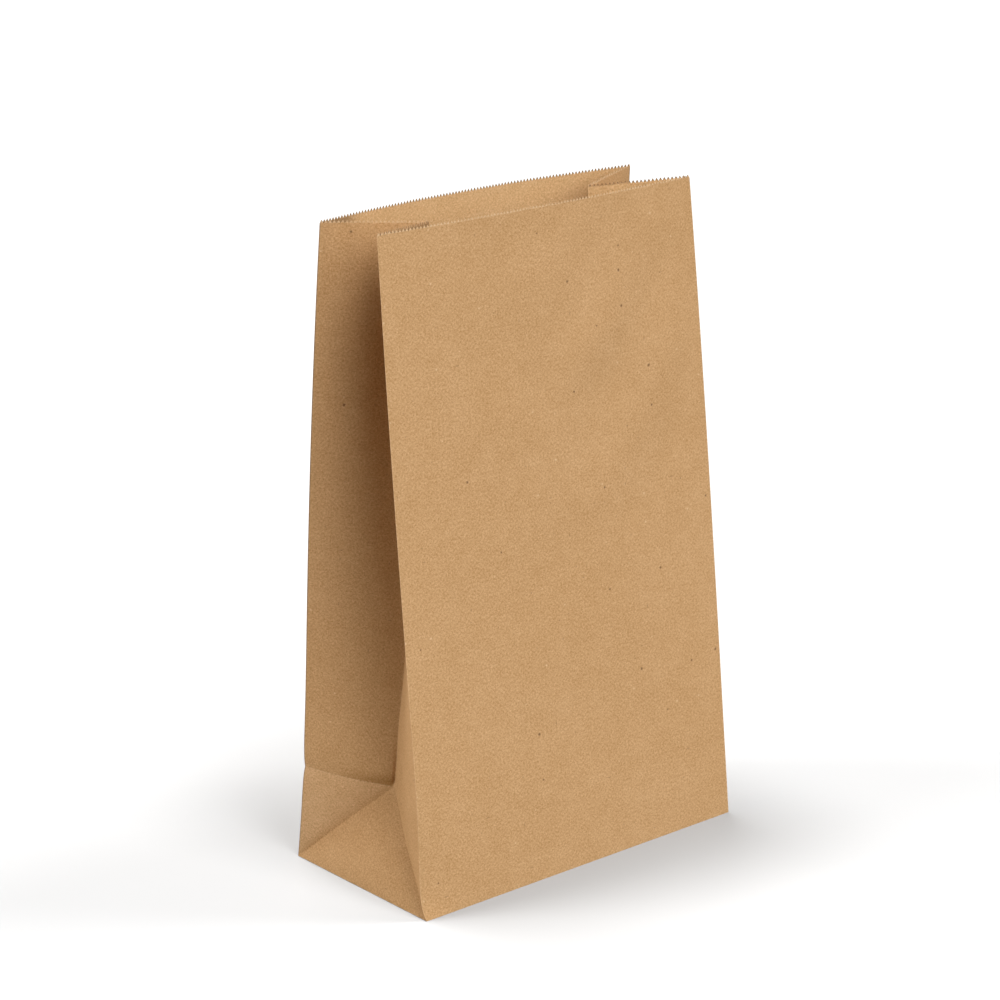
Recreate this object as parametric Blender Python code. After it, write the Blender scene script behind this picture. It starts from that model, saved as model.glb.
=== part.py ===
# A flat-bottom paper bag, standing open and empty.
# It is one sheet of brown kraft paper: folded into a tube with two side gussets,
# closed down the back by a pasted lap, cut to teeth at the mouth and folded shut at the bottom.
# The frame: origin on the floor at the middle of the base, +X across the panels,
# the front panel towards -Y, +Z up. All sizes are in metres.
import math

import bmesh
import bpy
from mathutils import Vector

# The flat sheet
PANEL_WIDTH = 0.200        # front and back panel, from fold to fold
GUSSET_DEPTH = 0.104       # side gusset opened out flat, from fold to fold
PAPER_HEIGHT = 0.3325      # from the bottom fold to the tips of the teeth, along the paper
PAPER = 0.00012            # thickness of one layer
TOOTH_PITCH = 0.0020       # teeth that the cutting knife leaves along the mouth
TOOTH_HEIGHT = 0.0012
SEAM_LAP = 0.012           # width of the pasted lap down the back panel
SEAM_OFFSET = 0.030        # from the middle of the back panel to the lap's nearer edge
FLAP_OVERLAP = 0.012       # how far the two bottom flaps are pasted over each other

# How the opened bag stands
FRONT_LEAN = 0.0277        # the front rim stands in from over its bottom fold by this much
BACK_LEAN = 0.0329         # the same for the back rim
CREASE_LEAN = 0.0089       # the back panel stands in by this much at its cross crease
BACK_CURL = 0.0053         # how much of the back panel's lean comes late, as a curve
FRONT_BOW = 0.0041         # the front rim bulges forwards by this much at its middle
BACK_BOW = 0.0087          # the back rim bulges backwards by this much at its middle
RIM_DRAW = 0.0030          # each corner of the rim draws in sideways by this much
GUSSET_DROP = 0.0015       # the gusset's centre fold ends this much below the rim corners

# Fineness of the folded surface
PANEL_COLUMNS = 10
GUSSET_COLUMNS = 4         # across one half of a gusset, and up to the cross crease
UPPER_ROWS = 10
SAME_PLACE = 1e-9          # points closer than this are the same place on the sheet

KRAFT_BROWN = (0.560, 0.335, 0.158, 1.0)
KRAFT_ROUGHNESS = 0.88

# What follows from the sizes
HALF_WIDTH = PANEL_WIDTH / 2
HALF_GUSSET = GUSSET_DEPTH / 2
FOLD_LEVEL = 2 * PAPER                      # two flaps lie under the side folds
VALLEY_HEIGHT = PAPER_HEIGHT - TOOTH_HEIGHT
FRONT_TILT = math.asin(FRONT_LEAN / PAPER_HEIGHT)
LOWER_TILT = math.asin(CREASE_LEAN / HALF_GUSSET)
UPPER_TILT = math.asin((BACK_LEAN - CREASE_LEAN) / (PAPER_HEIGHT - HALF_GUSSET))
# The bottom triangle of a gusset leans in just enough to keep the paper beside it unstretched.
TRIANGLE_TILT = math.acos((1 - math.sin(FRONT_TILT)) / math.cos(FRONT_TILT))

# The six faces around the tube, in order, seen from above and anticlockwise
FRONT, RIGHT_FRONT, RIGHT_BACK, BACK, LEFT_BACK, LEFT_FRONT = range(6)
FACES = 6


def share_above_crease(v):
    """How far up the paper is from the cross crease to the rim, 0 to 1."""
    return max(0.0, v - HALF_GUSSET) / (PAPER_HEIGHT - HALF_GUSSET)


def front_fold(v):
    """Where the front panel's side fold is, as depth y and height z, at height v on the paper."""
    return -HALF_GUSSET + v * math.sin(FRONT_TILT), FOLD_LEVEL + v * math.cos(FRONT_TILT)


def back_fold(v):
    """The same for the back panel, which is kinked at the cross crease."""
    lower = min(v, HALF_GUSSET)
    upper = max(0.0, v - HALF_GUSSET)
    s = share_above_crease(v)
    lean = lower * math.sin(LOWER_TILT) + upper * math.sin(UPPER_TILT) - BACK_CURL * s * (1 - s)
    height = lower * math.cos(LOWER_TILT) + upper * math.cos(UPPER_TILT)
    return HALF_GUSSET - lean, FOLD_LEVEL + height


def half_width(v):
    """Half of the panel's width between its side folds, drawn in towards the rim."""
    return HALF_WIDTH - RIM_DRAW * (v / PAPER_HEIGHT) ** 3


def front_panel(fraction, v):
    """A point of the front panel: fraction 0 at the left fold, 1 at the right fold."""
    across = 2 * fraction - 1
    y, z = front_fold(v)
    bow = FRONT_BOW * (v / PAPER_HEIGHT) ** 2
    return Vector((across * half_width(v), y - bow * (1 - across * across), z))


def back_panel(fraction, v):
    """A point of the back panel: fraction 0 at the right fold, 1 at the left fold."""
    across = 1 - 2 * fraction
    y, z = back_fold(v)
    bow = BACK_BOW * share_above_crease(v) ** 2
    return Vector((across * half_width(v), y + bow * (1 - across * across), z))


def triangle_point(u, v):
    """A point of the right gusset's bottom triangle, u back from the front corner, v up its slope."""
    x = HALF_WIDTH - v * math.sin(TRIANGLE_TILT)
    return Vector((x, -HALF_GUSSET + u, FOLD_LEVEL + v * math.cos(TRIANGLE_TILT)))


def free_inset(v):
    """How far the centre fold stands in where both half gussets keep their full width."""
    gap = back_fold(v)[0] - front_fold(v)[0]
    return math.sqrt(HALF_GUSSET ** 2 - (gap / 2) ** 2)


def centre_fold(v):
    """The right gusset's centre fold, from the triangle's peak at the cross crease to the rim."""
    s = share_above_crease(v)
    fading = (1 - s) ** 3
    peak = triangle_point(HALF_GUSSET, HALF_GUSSET)
    inset = free_inset(v) - fading * (free_inset(HALF_GUSSET) - (HALF_WIDTH - peak.x))
    middle = (front_fold(v)[0] + back_fold(v)[0]) / 2
    middle_at_crease = (front_fold(HALF_GUSSET)[0] + back_fold(HALF_GUSSET)[0]) / 2
    top = (front_fold(PAPER_HEIGHT)[1] + back_fold(PAPER_HEIGHT)[1]) / 2 - GUSSET_DROP
    return Vector((half_width(v) - inset, middle - fading * middle_at_crease, peak.z + s * (top - peak.z)))


def right_half_gusset(u, v, panel_fold, from_back):
    """A point of one half of the right gusset, u in from the panel's fold, v up the paper."""
    if u >= v and v < HALF_GUSSET:
        return triangle_point(GUSSET_DEPTH - u if from_back else u, v)
    y, z = panel_fold(v)
    edge = Vector((half_width(v), y, z))
    if v < HALF_GUSSET:
        mitre = triangle_point(GUSSET_DEPTH - v if from_back else v, v)
        return edge.lerp(mitre, u / v)
    return edge.lerp(centre_fold(v), u / HALF_GUSSET)


def sheet_point(place, v):
    """Where the paper's outer surface is: place is the face's number plus the fraction across it."""
    face = min(int(place), LEFT_FRONT)
    fraction = place - face
    if face == FRONT:
        return front_panel(fraction, v)
    if face == BACK:
        return back_panel(fraction, v)
    if face in (RIGHT_FRONT, LEFT_BACK):
        u = fraction * HALF_GUSSET
    else:
        u = (1 - fraction) * HALF_GUSSET
    from_back = face in (RIGHT_BACK, LEFT_BACK)
    point = right_half_gusset(u, v, back_fold if from_back else front_fold, from_back)
    if face in (LEFT_BACK, LEFT_FRONT):
        point.x = -point.x
    return point


def teeth_across(face):
    """How many whole teeth the knife leaves across one face."""
    width = PANEL_WIDTH if face in (FRONT, BACK) else HALF_GUSSET
    return max(1, round(width / TOOTH_PITCH))


def seam_edges():
    """The two edges of the back lap as fractions of the back panel, each at the foot of a tooth."""
    teeth = teeth_across(BACK)
    near = round((HALF_WIDTH + SEAM_OFFSET) / PANEL_WIDTH * teeth)
    far = near + max(1, round(SEAM_LAP / PANEL_WIDTH * teeth))
    return near / teeth, far / teeth


def column_places():
    """Places around the tube where the folded surface has a vertical line of points."""
    places = []
    for face in range(FACES):
        count = PANEL_COLUMNS if face in (FRONT, BACK) else GUSSET_COLUMNS
        fractions = {column / count for column in range(count)}
        if face == BACK:
            fractions.update(seam_edges())
        places += [face + fraction for fraction in sorted(fractions)]
    return places


def row_heights():
    """Heights on the paper of the rows of points, from the bottom fold to under the teeth."""
    lower = [row * HALF_GUSSET / GUSSET_COLUMNS for row in range(GUSSET_COLUMNS)]
    step = (VALLEY_HEIGHT - HALF_GUSSET) / UPPER_ROWS
    return lower + [HALF_GUSSET + row * step for row in range(UPPER_ROWS)]


def ring_of_points(bm, places, v):
    return [bm.verts.new(sheet_point(place, v)) for place in places]


def is_on_mitre(place, v):
    """Whether a point lies on a 45 degree crease, between a bottom corner and a triangle's peak."""
    face = int(place)
    if face in (FRONT, BACK):
        return v == 0 and place == face
    u = (place - face) * HALF_GUSSET
    if face in (RIGHT_BACK, LEFT_FRONT):
        u = HALF_GUSSET - u
    return abs(u - v) < SAME_PLACE


def join_rows(bm, places, below, above, v_below, v_above):
    """Fills the strip between two rows of the same points, split where a 45 degree crease crosses it."""
    for start in range(len(places)):
        end = (start + 1) % len(places)
        corners = [below[start], below[end], above[end], above[start]]
        if is_on_mitre(places[start], v_below) and is_on_mitre(places[end], v_above):
            bm.faces.new([corners[0], corners[1], corners[2]])
            bm.faces.new([corners[0], corners[2], corners[3]])
        elif is_on_mitre(places[end], v_below) and is_on_mitre(places[start], v_above):
            bm.faces.new([corners[0], corners[1], corners[3]])
            bm.faces.new([corners[1], corners[2], corners[3]])
        else:
            bm.faces.new(corners)


def join_to_fine_row(bm, places, row, fine_places, fine_row):
    """Fills the strip between a row of columns and the closer row at the feet of the teeth."""
    count, fine_count = len(places), len(fine_places)
    low, high = 0, 0
    while low < count or high < fine_count:
        next_low = places[low + 1] if low + 1 < count else FACES
        next_high = fine_places[high + 1] if high + 1 < fine_count else FACES
        a, b = row[low % count], fine_row[high % fine_count]
        if high < fine_count and (low == count or next_high <= next_low + SAME_PLACE):
            bm.faces.new([a, fine_row[(high + 1) % fine_count], b])
            high += 1
        else:
            bm.faces.new([a, row[(low + 1) % count], b])
            low += 1


def cut_teeth(bm, fine_places, fine_row):
    """Stands one tooth on each pair of neighbouring feet along the mouth."""
    count = len(fine_places)
    for foot in range(count):
        next_place = fine_places[foot + 1] if foot + 1 < count else FACES
        tip = bm.verts.new(sheet_point((fine_places[foot] + next_place) / 2, PAPER_HEIGHT))
        bm.faces.new([fine_row[foot], fine_row[(foot + 1) % count], tip])


def fill_bottom(bm, places, ring):
    """Closes the bottom with two side folds and two long flaps, outlined as they show from below."""
    corner = [places.index(float(face)) for face in (FRONT, RIGHT_FRONT, BACK, LEFT_BACK)]
    front = ring[corner[0]:corner[1] + 1]
    right = ring[corner[1]:corner[2] + 1]
    back = ring[corner[2]:corner[3] + 1]
    left = ring[corner[3]:] + [ring[0]]
    peak_x = HALF_WIDTH - HALF_GUSSET
    edge_x = peak_x - FLAP_OVERLAP / 2
    peak_right = bm.verts.new((peak_x, 0, FOLD_LEVEL))
    peak_left = bm.verts.new((-peak_x, 0, FOLD_LEVEL))
    edge_right = bm.verts.new((edge_x, -FLAP_OVERLAP / 2, FOLD_LEVEL))
    edge_left = bm.verts.new((-edge_x, -FLAP_OVERLAP / 2, FOLD_LEVEL))
    free_edge = [peak_right, edge_right, edge_left, peak_left]
    bm.faces.new(list(reversed(right)) + [peak_right])
    bm.faces.new(list(reversed(left)) + [peak_left])
    bm.faces.new(list(reversed(front)) + list(reversed(free_edge)))
    bm.faces.new(list(reversed(back)) + free_edge)


def folded_sheet():
    """The outer surface of the whole bag, folded up and open at the mouth."""
    bm = bmesh.new()
    places = column_places()
    heights = row_heights()
    rows = [ring_of_points(bm, places, v) for v in heights]
    for index in range(len(rows) - 1):
        join_rows(bm, places, rows[index], rows[index + 1], heights[index], heights[index + 1])
    fine_places = [
        face + tooth / teeth_across(face) for face in range(FACES) for tooth in range(teeth_across(face))
    ]
    fine_row = ring_of_points(bm, fine_places, VALLEY_HEIGHT)
    join_to_fine_row(bm, places, rows[-1], fine_places, fine_row)
    cut_teeth(bm, fine_places, fine_row)
    fill_bottom(bm, places, rows[0])
    return bm


def with_paper_thickness(bm):
    """Turns the folded surface into paper, thickened towards the inside of the bag."""
    mesh = bpy.data.meshes.new("folded_sheet")
    bm.to_mesh(mesh)
    bm.free()
    sheet = bpy.data.objects.new("folded_sheet", mesh)
    bpy.context.scene.collection.objects.link(sheet)
    paper = sheet.modifiers.new("paper", "SOLIDIFY")
    paper.thickness = PAPER
    paper.offset = -1
    paper.use_even_offset = True
    evaluated = sheet.evaluated_get(bpy.context.evaluated_depsgraph_get())
    thick = bmesh.new()
    thick.from_mesh(bpy.data.meshes.new_from_object(evaluated))
    bpy.data.objects.remove(sheet)
    return thick


def add_layer(bm, faces, direction):
    """Lays one more sheet on the given faces and returns the faces of the new layer."""
    edges = list(dict.fromkeys(edge for face in faces for edge in face.edges))
    grown = bmesh.ops.extrude_face_region(bm, geom=faces + edges)["geom"]
    points = [part for part in grown if isinstance(part, bmesh.types.BMVert)]
    bmesh.ops.translate(bm, verts=points, vec=direction * PAPER)
    return [part for part in grown if isinstance(part, bmesh.types.BMFace)]


def paste_flaps(bm):
    """Builds up the bottom: the front flap first, then the back flap folded over it."""
    down = Vector((0, 0, -1))
    underside = [face for face in bm.faces if face.normal.z < -0.999 and len(face.verts) > 4]
    flaps = sorted(underside, key=lambda face: face.calc_area())[-2:]
    flaps = add_layer(bm, flaps, down)
    back_flap = max(flaps, key=lambda face: face.calc_center_median().y)
    front_flap = min(flaps, key=lambda face: face.calc_center_median().y)
    add_layer(bm, [back_flap], down)
    # The front flap starts on the floor at its fold and climbs one layer to go under the back flap.
    for point in front_flap.verts:
        if point.co.y < -HALF_GUSSET + PAPER:
            point.co.z = 0


def paste_seam(bm):
    """Doubles the paper along the lap that closes the tube, down the outside of the back panel."""
    near, far = seam_edges()
    lap = []
    for face in bm.faces:
        centre = face.calc_center_median()
        fraction = (1 - centre.x / half_width(min(centre.z, PAPER_HEIGHT))) / 2
        faces_back = face.normal.y > 0.9 and centre.y > 0 and centre.z > FOLD_LEVEL
        if faces_back and near < fraction < far:
            lap.append(face)
    add_layer(bm, lap, Vector((0, 1, 0)))


def kraft_material():
    material = bpy.data.materials.new("brown_kraft_paper")
    material.use_nodes = True
    shader = material.node_tree.nodes["Principled BSDF"]
    shader.inputs["Base Color"].default_value = KRAFT_BROWN
    shader.inputs["Roughness"].default_value = KRAFT_ROUGHNESS
    shader.inputs["Metallic"].default_value = 0.0
    return material


def paper_bag():
    bm = with_paper_thickness(folded_sheet())
    paste_flaps(bm)
    paste_seam(bm)
    bmesh.ops.triangulate(bm, faces=bm.faces[:])
    mesh = bpy.data.meshes.new("paper_bag")
    bm.to_mesh(mesh)
    bm.free()
    mesh.shade_smooth()
    mesh.set_sharp_from_angle(angle=math.radians(15))
    mesh.materials.append(kraft_material())
    bag = bpy.data.objects.new("paper_bag", mesh)
    bpy.context.scene.collection.objects.link(bag)
    return bag


def clear_scene():
    for old in list(bpy.data.objects):
        bpy.data.objects.remove(old)


clear_scene()
paper_bag()
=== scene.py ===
# %% [markdown]
# A brown paper bag in Blender
#
# A flat-bottom bag is a good first lesson in folded things: it is one sheet of kraft paper,
# and every surface on it is that sheet, bent along a straight crease. So this file works as
# a bag machine does. It lays the sheet out flat, cuts the teeth of the mouth, and only then
# folds the paper up into the bag. The folding is written as sums on the sheet's own two
# coordinates, and Geometry Nodes carry the sums out.
#
# The first cell loads the measured model that the picture is dressed on. Its box is kept,
# because the finished bag has to fill the same space.

# %% Load the measured model
import math

import bmesh
import bpy
from mathutils import Matrix, Vector


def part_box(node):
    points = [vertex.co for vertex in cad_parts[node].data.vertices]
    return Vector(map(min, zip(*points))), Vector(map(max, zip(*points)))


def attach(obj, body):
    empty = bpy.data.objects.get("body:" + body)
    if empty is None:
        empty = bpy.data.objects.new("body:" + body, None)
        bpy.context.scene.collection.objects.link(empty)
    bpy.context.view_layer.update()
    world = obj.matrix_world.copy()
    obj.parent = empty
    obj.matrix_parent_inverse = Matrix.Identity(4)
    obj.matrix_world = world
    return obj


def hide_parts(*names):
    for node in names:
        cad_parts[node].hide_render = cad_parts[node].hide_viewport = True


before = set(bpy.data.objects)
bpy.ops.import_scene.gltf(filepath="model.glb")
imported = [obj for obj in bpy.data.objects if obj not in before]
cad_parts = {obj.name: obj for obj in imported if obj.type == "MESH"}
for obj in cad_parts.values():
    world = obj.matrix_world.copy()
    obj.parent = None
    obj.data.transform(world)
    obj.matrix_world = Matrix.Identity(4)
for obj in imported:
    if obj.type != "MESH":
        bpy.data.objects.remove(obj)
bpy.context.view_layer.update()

low_corner, high_corner = (Vector(corner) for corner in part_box("paper_bag"))
print("measured bag, metres:", tuple(round(side, 4) for side in high_corner - low_corner))

# %% [markdown]
# The camera
#
# The photograph was taken with a long lens from the front left and a little above. Its place was
# worked out by matching the corners and folds of the bag: the verticals lean together only
# slightly, which says that the camera stood well back. The small turn about its own axis is
# the photographer's hand. The shift puts the bag off centre without turning the camera.

# %% Place the camera
CAMERA_TURN = math.radians(-39.67)      # round the bag, from straight in front
CAMERA_RISE = math.radians(17.70)
CAMERA_ROLL = math.radians(-0.90)
CAMERA_DISTANCE = 1.531
CAMERA_TARGET = Vector((0, 0, 0.1662))
FOCAL_PIXELS = 3092.0
PICTURE_SIDE = 1000.0
SHIFT_RIGHT = 11.6                      # how far the bag stands from the middle, in pixels
SHIFT_DOWN = 24.2


def place_camera():
    towards_camera = Vector((
        math.sin(CAMERA_TURN) * math.cos(CAMERA_RISE),
        -math.cos(CAMERA_TURN) * math.cos(CAMERA_RISE),
        math.sin(CAMERA_RISE),
    ))
    level_right = Vector((math.cos(CAMERA_TURN), math.sin(CAMERA_TURN), 0))
    level_up = towards_camera.cross(level_right)
    right = level_right * math.cos(CAMERA_ROLL) + level_up * math.sin(CAMERA_ROLL)
    up = level_up * math.cos(CAMERA_ROLL) - level_right * math.sin(CAMERA_ROLL)
    camera = bpy.data.cameras.new("camera")
    camera.sensor_width = 36.0
    camera.lens = FOCAL_PIXELS / PICTURE_SIDE * camera.sensor_width
    camera.shift_x = -SHIFT_RIGHT / PICTURE_SIDE
    camera.shift_y = SHIFT_DOWN / PICTURE_SIDE
    camera.clip_end = 50
    stand = bpy.data.objects.new("camera", camera)
    turn = Matrix((right, up, towards_camera)).transposed().to_4x4()
    stand.matrix_world = Matrix.Translation(CAMERA_TARGET + towards_camera * CAMERA_DISTANCE) @ turn
    bpy.context.scene.collection.objects.link(stand)
    bpy.context.scene.camera = stand
    return stand


camera = place_camera()
print("lens, mm:", round(camera.data.lens, 1))

# %% [markdown]
# The sizes of the sheet
#
# Every size below can be measured on a real bag with a ruler. The first group is the flat
# sheet. The second says how this bag happens to stand: the panels lean in towards the mouth,
# because the gussets still want to fold, and the two rims bow outwards.

# %% Sizes of the flat sheet, in metres
PANEL_WIDTH = high_corner.x - low_corner.x
GUSSET_DEPTH = 0.104
PAPER_HEIGHT = 0.3325
PAPER = 0.00012
TOOTH_HEIGHT = 0.0016
TEETH_ON_PANEL = 100
TEETH_ON_HALF_GUSSET = 26
LAP_TEETH = 6                # the pasted lap down the back is this many teeth wide
LAP_FIRST_TOOTH = 65
FLAP_OVERLAP = 0.012
LOWER_ROWS = 26              # rows of cells up to the cross crease, as deep as they are wide
CREASE_ROWS = 12             # close rows just above the crease, where the paper bends sharply
CREASE_ROW_HEIGHT = 0.001
UPPER_ROWS = 88

HALF_GUSSET = GUSSET_DEPTH / 2
HALF_WIDTH = PANEL_WIDTH / 2
FOLD_LEVEL = 2 * PAPER       # two flaps lie under the side folds
GIRTH = 2 * PANEL_WIDTH + 2 * GUSSET_DEPTH

# %% How this bag stands, in metres
STANCE = {
    "Panel Width": PANEL_WIDTH,
    "Gusset Depth": GUSSET_DEPTH,
    "Paper Height": PAPER_HEIGHT,
    "Tooth Height": TOOTH_HEIGHT,
    "Front Lean": 0.0277,
    "Back Lean": 0.0329,
    "Crease Lean": 0.0089,
    "Back Curl": 0.0053,
    "Front Bow": 0.0041,
    "Back Bow": 0.0087,
    "Rim Draw": 0.0030,
    "Left Gusset Drop": 0.0040,
    "Right Gusset Drop": 0.0010,
    "Waves": 0.0007,
    "Buckle": 0.00055,
    "Crease Swell": 0.0014,
    "Fold Swell": 0.0007,
    "Crease Sag": 0.0010,
    "Flap Swell": 0.0010,
    "Foot Swell": 0.0020,
    "Peak Inset": 0.0017,
    "Peak Drop": 0.0004,
    "Peak Crumple": 0.0009,
    "Corner Kick": 0.0017,
}
all_teeth = 2 * TEETH_ON_PANEL + 4 * TEETH_ON_HALF_GUSSET
print("girth of the tube, mm:", round(GIRTH * 1000), "teeth:", all_teeth)

# %% Where the swells, ridges and dents lie, in metres
WAVE_SCALE = 14.0            # waves to a metre
WAVE_STRETCH = 0.10          # they change less across the paper than up it
WAVE_GAIN = 4.0              # soft noise seldom reaches its ends, so it is turned up
BUCKLE_SLOPE = (0.78, 0.62)
BUCKLE_PITCH = 0.0085        # the sine of the ridges turns once in 2 pi of these
BUCKLE_MIDDLE = (0.150, 0.245)
BUCKLE_SPREAD = (0.060, 0.085)
BUCKLE_MARGIN = 0.020        # the ridges die away this close to the fold
BUCKLE_WANDER = 16.0
NOTCH_REACH = 0.011
SWELL_REACH = 0.0065
SAG_REACH = 0.025
CRUMPLE_REACH = 0.010
CRUMPLE_SCALE = 260.0
PEAK_REACH = 0.035
KICK_HEIGHT = 0.013
KICK_WIDTH = 0.030
SLANT = 0.7                  # a face that stands at a slant moves this share sideways
SAME_PLACE = 0.00001         # closer than this counts as the same height
WELD = 0.00002
print("ridges on the front panel are", round(BUCKLE_PITCH * 2 * math.pi * 1000), "mm apart")

# %% [markdown]
# Sums with nodes
#
# A node tree is slow to read when every plus and times is a node wired by hand. A Wire is an
# output socket that can stand in a Python sum, and the sum adds its own Math nodes. A Bench
# is the tree that they are laid out on, with one method that adds any other node. The same
# two classes serve the folding and the paper's finish.


# %% Wires and the bench
class Wire:
    """An output socket that can be used in sums."""

    def __init__(self, bench, socket):
        self.bench = bench
        self.socket = socket

    def math(self, operation, *others):
        return self.bench.node("ShaderNodeMath", {"operation": operation}, [self, *others])

    def __add__(self, other):
        return self.math("ADD", other)

    def __radd__(self, other):
        return self.math("ADD", other)

    def __sub__(self, other):
        return self.math("SUBTRACT", other)

    def __rsub__(self, other):
        return self.bench.node("ShaderNodeMath", {"operation": "SUBTRACT"}, [other, self])

    def __mul__(self, other):
        return self.math("MULTIPLY", other)

    def __rmul__(self, other):
        return self.math("MULTIPLY", other)

    def __truediv__(self, other):
        return self.math("DIVIDE", other)

    def __rtruediv__(self, other):
        return self.bench.node("ShaderNodeMath", {"operation": "DIVIDE"}, [other, self])

    def __neg__(self):
        return self.math("MULTIPLY", -1.0)

    def beside(self, name):
        """Another output of the same node."""
        return Wire(self.bench, self.socket.node.outputs[name])

    def root(self):
        return self.math("SQRT")

    def size(self):
        return self.math("ABSOLUTE")

    def least(self, other):
        return self.math("MINIMUM", other)

    def most(self, other):
        return self.math("MAXIMUM", other)

    def above(self, other):
        return self.math("GREATER_THAN", other)

    def below(self, other):
        return self.math("LESS_THAN", other)


class Bench:
    """A node tree and the one way in which nodes are put into it."""

    def __init__(self, tree):
        self.tree = tree

    def node(self, kind, settings=None, inputs=(), output=0):
        node = self.tree.nodes.new(kind)
        for name, value in (settings or {}).items():
            setattr(node, name, value)
        for key, value in inputs.items() if isinstance(inputs, dict) else enumerate(inputs):
            self.feed(node.inputs[key], value)
        return Wire(self, node.outputs[output])

    def feed(self, socket, value):
        if isinstance(value, list):
            for wire in value:
                self.tree.links.new(wire.socket, socket)
        elif isinstance(value, Wire):
            self.tree.links.new(value.socket, socket)
        else:
            socket.default_value = value

    def vector(self, x, y, z):
        return self.node("ShaderNodeCombineXYZ", inputs=[x, y, z])

    def across_and_up(self, vector):
        split = self.node("ShaderNodeSeparateXYZ", inputs=[vector])
        return split, split.beside(1)

    def noise(self, vector, scale, detail=2.0, roughness=0.5):
        """Soft noise about zero, from -0.5 to 0.5."""
        inputs = {"Vector": vector, "Scale": scale, "Detail": detail, "Roughness": roughness}
        return self.node("ShaderNodeTexNoise", inputs=inputs, output="Fac") - 0.5

    def mix(self, share, first, second, way="MIX"):
        """Two colours mixed: the first at a share of 0, the second at 1."""
        settings = {"data_type": "RGBA", "blend_type": way}
        return self.node("ShaderNodeMix", settings, {0: share, 6: first, 7: second}, 2)


# %% [markdown]
# The rules of the fold
#
# A crease can only be where the paper keeps its length. The side triangle at the foot of each
# gusset leans in by the angle at which the strips beside it are neither stretched nor
# slack, and the gusset's centre fold stands in as far as the two half gussets are long.
# These rules are written once here, on the height v up the paper, and each face
# of the tube is folded by them.


# %% Rules of the fold
class FoldRules:
    def __init__(self, bench, sizes):
        self.bench = bench
        self.sizes = sizes
        self.width = sizes["Panel Width"]
        self.half = sizes["Gusset Depth"] / 2
        self.height = sizes["Paper Height"]
        self.valley = self.height - sizes["Tooth Height"]
        self.front_sine, self.front_cosine = self.tilt(sizes["Front Lean"], self.height)
        self.lower_sine, self.lower_cosine = self.tilt(sizes["Crease Lean"], self.half)
        upper_lean = sizes["Back Lean"] - sizes["Crease Lean"]
        self.upper_sine, self.upper_cosine = self.tilt(upper_lean, self.height - self.half)
        self.triangle_cosine = (1 - self.front_sine) / self.front_cosine
        self.triangle_sine = (1 - self.triangle_cosine * self.triangle_cosine).root()

    def tilt(self, lean, length):
        sine = lean / length
        return sine, (1 - sine * sine).root()

    def above_crease(self, v):
        return (v - self.half).most(0.0) / (self.height - self.half)

    def front_fold(self, v):
        return v * self.front_sine - self.half, v * self.front_cosine + FOLD_LEVEL

    def back_fold(self, v):
        lower = v.least(self.half)
        upper = (v - self.half).most(0.0)
        s = self.above_crease(v)
        lean = lower * self.lower_sine + upper * self.upper_sine - self.sizes["Back Curl"] * s * (1 - s)
        return self.half - lean, lower * self.lower_cosine + upper * self.upper_cosine + FOLD_LEVEL

    def half_width(self, v):
        t = v / self.height
        return self.width / 2 - self.sizes["Rim Draw"] * t * t * t

    def back_half_width(self, v):
        """The back folds stand out a little above and below the cross crease, with a notch on it."""
        off_crease = (v - self.half).size() / NOTCH_REACH
        swell = off_crease * (1 - off_crease).math("EXPONENT") * (v / self.half).least(1.0)
        return self.half_width(v) + self.sizes["Fold Swell"] * swell

    def free_inset(self, gap):
        return (self.half * self.half - gap * gap / 4).root()

    def centre_fold(self, v, drop):
        """Where the right gusset's centre fold is: x, y and z. It hangs below the rims by the drop."""
        s = self.above_crease(v)
        fading = (1 - s) * (1 - s) * (1 - s)
        front_y, back_y = self.front_fold(v)[0], self.back_fold(v)[0]
        front_low, back_low = self.front_fold(self.half)[0], self.back_fold(self.half)[0]
        peak_inset = self.half * self.triangle_sine
        peak_height = self.half * self.triangle_cosine + FOLD_LEVEL
        inset = self.free_inset(back_y - front_y)
        inset = inset - fading * (self.free_inset(back_low - front_low) - peak_inset)
        top = (self.front_fold(self.height)[1] + self.back_fold(self.height)[1]) / 2 - drop
        y = (front_y + back_y) / 2 - fading * (front_low + back_low) / 2
        return self.half_width(v) - inset, y, peak_height + s * (top - peak_height)


def blend(share, a, b):
    return a + share * (b - a)


# %% [markdown]
# Slack in the paper
#
# Paper between two creases is never quite flat. It carries slow waves that come to rest at the
# creases. On the front panel soft ridges run down from the upper right, as they do on a bag that
# was kept folded flat. At the foot of a gusset five creases meet in one point, the peak, and the
# paper round it is pushed in, swells and crumples. Each of these is a small sum that fades to
# nothing where two faces join, or is the same on both, so that no seam opens.


# %% Waves and ridges
def slack_waves(rules, across, v, seed):
    """Slow waves in the paper, still at the creases and at the foot."""
    bench = rules.bench
    place = bench.vector(across * WAVE_STRETCH, v, seed)
    still_at_sides = 1 - across * across
    fading_down = (v / rules.height).least(1.0)
    waves = bench.noise(place, WAVE_SCALE, 1.0) * rules.sizes["Waves"] * WAVE_GAIN
    return waves * still_at_sides * fading_down


def diagonal_buckle(rules, x, v):
    """Soft ridges that run down to the left from the upper right of the front panel."""
    down_slope = x * BUCKLE_SLOPE[0] - v * BUCKLE_SLOPE[1]
    wander = rules.bench.noise(rules.bench.vector(x, v, 5.0), BUCKLE_WANDER, 1.0) * 4.0
    ridges = (down_slope / BUCKLE_PITCH + wander).math("SINE")
    across = (x - BUCKLE_MIDDLE[0]) / BUCKLE_SPREAD[0]
    up = (v - BUCKLE_MIDDLE[1]) / BUCKLE_SPREAD[1]
    near = (1 - across * across - up * up).most(0.0)
    still_at_fold = ((rules.width - x) / BUCKLE_MARGIN).least(1.0)
    return ridges * near * still_at_fold * rules.sizes["Buckle"]


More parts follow.
